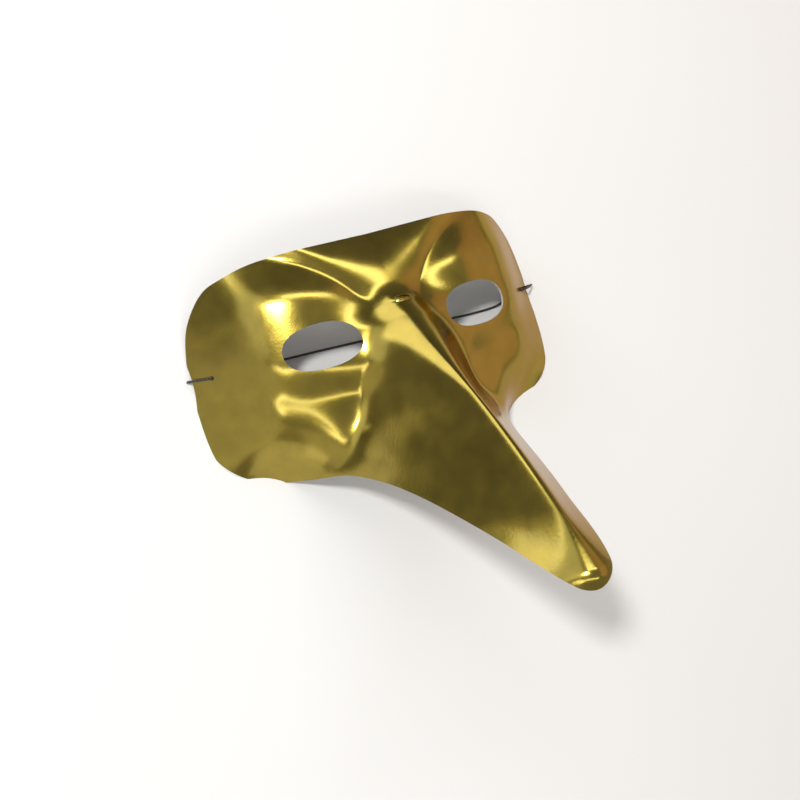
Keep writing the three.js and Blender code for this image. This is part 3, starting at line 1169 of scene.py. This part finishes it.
def exact_normal(points):
    """Which way the front of the sheet faces, worked out from the formula itself."""
    x, y = points[:, 0], points[:, 1]
    slope_x = (face_height(x + SLOPE_STEP, y) - face_height(x - SLOPE_STEP, y)) / (2 * SLOPE_STEP)
    slope_y = (face_height(x, y + SLOPE_STEP) - face_height(x, y - SLOPE_STEP)) / (2 * SLOPE_STEP)
    normals = np.stack([-slope_x, -slope_y, np.ones(len(points))], axis=1)
    return normals / np.linalg.norm(normals, axis=1, keepdims=True)


def polish(piece):
    """Gives the front the formula's own normals, and returns how many corners got one."""
    mesh = piece.data
    corners = np.zeros(len(mesh.loops), int)
    mesh.loops.foreach_get("vertex_index", corners)
    places = np.zeros(len(mesh.vertices) * 3)
    mesh.vertices.foreach_get("co", places)
    places = places.reshape(-1, 3)[corners] / MM - EYE_POINT
    normals = np.zeros(len(mesh.loops) * 3)
    mesh.corner_normals.foreach_get("vector", normals)
    normals = normals.reshape(-1, 3)
    finishes = np.zeros(len(mesh.polygons), int)
    mesh.polygons.foreach_get("material_index", finishes)
    sides = np.zeros(len(mesh.polygons), int)
    mesh.polygons.foreach_get("loop_total", sides)
    on_front = np.repeat(finishes == mesh.materials.find(gold.name), sides)
    normals[on_front] = exact_normal(places[on_front])
    mesh.normals_split_custom_set(normals.tolist())
    return int(on_front.sum())


print("corners polished:", polish(mask))
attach(mask, "root")
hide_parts("mask_shell")

# %% [markdown]
# ## The floor
# A pale card, slightly uneven in tone and a little larger than the picture. It ends there on
# purpose: the flank of the beak looks past its far edge into the dim room, and so stays dark.
# A stage piece is not part of the object.

# %% Floor
CARD_CORNERS = [(-0.225, -0.11, 0), (0.16, -0.275, 0), (0.345, 0.155, 0), (-0.13, 0.235, 0)]
CARD_DARK = (0.70, 0.70, 0.695)
CARD_PALE = (0.73, 0.73, 0.725)

floor_material, floor_tree = new_material("pale_floor")
place = add_node(floor_tree, "ShaderNodeTexCoord").other_output("Object")
tone = noise(floor_tree, place, scale=3.0)
finish_material(
    floor_tree,
    {"Base Color": mix_colours(floor_tree, tone, CARD_DARK, CARD_PALE), "Roughness": 0.7},
)
floor_mesh = bpy.data.meshes.new("floor")
floor_mesh.from_pydata(CARD_CORNERS, [], [(0, 1, 2, 3)])
floor_mesh.materials.append(floor_material)
floor = bpy.data.objects.new("floor", floor_mesh)
scene.collection.objects.link(floor)
print("floor:", len(floor_mesh.vertices), "corners")

# %% [markdown]
# ## The light
# A mirror shows its surroundings, so the light is planned by what the mask should reflect.
# - The key is small and high on the left, and throws the shadows.
# - Three strips overhead and on the left draw the bright lines along the folds of lid and brow,
#   because a fold turns through every direction and so always finds the strip.
# - The window and the forehead screen brighten the temple and the bridge of the nose.
# - Two wide, weak screens on the left give the cheek its even tone.
# - The warm screen on the right turns that side of the face orange.


# %% Light
def add_panel(name, place, target, width, height, watts, colour):
    """A soft rectangular lamp at a place, turned to look at a target. Both are in metres."""
    lamp = bpy.data.lights.new(name, "AREA")
    lamp.shape = "RECTANGLE"
    lamp.size, lamp.size_y = width, height
    lamp.energy = watts
    lamp.color = colour
    panel = bpy.data.objects.new(name, lamp)
    look = (Vector(target) - Vector(place)).to_track_quat("-Z", "Y")
    panel.matrix_world = Matrix.Translation(place) @ look.to_matrix().to_4x4()
    scene.collection.objects.link(panel)


# Each lamp: its place, its target, its width and height, its watts and its colour
add_panel("key", (-0.62, 0.35, 1.14), (0, 0, 0), 0.12, 0.12, 12, (1.0, 0.99, 0.97))
add_panel("ceiling_strip", (0.12, 0.62, 1.12), (0, 0, 0), 1.1, 0.24, 4.2, (1.0, 1.0, 0.98))
add_panel("front_strip", (-0.17, -0.63, 1.13), (0, 0, 0), 1.5, 0.12, 2.6, (1.0, 1.0, 0.98))
add_panel("window", (-0.83, 0.48, 0.6), (0, 0, 0.03), 0.8, 0.55, 1.3, (0.95, 1.0, 1.1))
add_panel("forehead_screen", (-0.47, 1.0, 0.27), (0, 0, 0.05), 1.0, 0.4, 3.4, (1.0, 1.0, 1.0))
add_panel("cheek_screen", (-1.1, -0.45, 0.4), (0, 0, 0.05), 1.4, 0.8, 1.6, (1.0, 0.98, 0.92))
add_panel("low_screen", (-0.62, -0.98, 0.04), (0, 0, 0.05), 1.3, 0.4, 1.2, (1.0, 0.98, 0.92))
add_panel("left_strip", (-0.82, -0.38, 0.92), (0, 0, 0), 0.5, 0.12, 1.0, (1.0, 1.0, 0.98))
add_panel("warm_screen", (1.08, 0.1, 0.5), (0, 0, 0.05), 1.6, 1.0, 2.2, (1.0, 0.5, 0.32))

# %% [markdown]
# ## The room
# Whatever the mask reflects between the lamps is the room. It is dim, and darkest beyond the
# forehead, which leaves those parts of the face a deep gold. Its light comes from one sum on
# the direction that a ray goes in, so it has no edge that the mirror could show.

# %% Room
ROOM = {"level": 0.36, "more_to_the_right": 0.04, "less_to_the_forehead": 0.24, "least": 0.08}
ROOM_COLOUR = (1.0, 0.97, 0.92, 1)

world = bpy.data.worlds.new("room")
world.use_nodes = True
world.node_tree.nodes.clear()
toward = add_node(world.node_tree, "ShaderNodeTexCoord")
parts = add_node(world.node_tree, "ShaderNodeSeparateXYZ", {}, {"Vector": toward})
brightness = ROOM["level"] + ROOM["more_to_the_right"] * parts
brightness = brightness - ROOM["less_to_the_forehead"] * larger(parts.other_output("Y"), 0)
room = add_node(
    world.node_tree,
    "ShaderNodeBackground",
    {},
    {"Color": ROOM_COLOUR, "Strength": larger(brightness, ROOM["least"])},
)
add_node(world.node_tree, "ShaderNodeOutputWorld", {}, {"Surface": room})
scene.world = world
scene.view_settings.view_transform = "Standard"
print("room:", len(world.node_tree.nodes), "nodes")
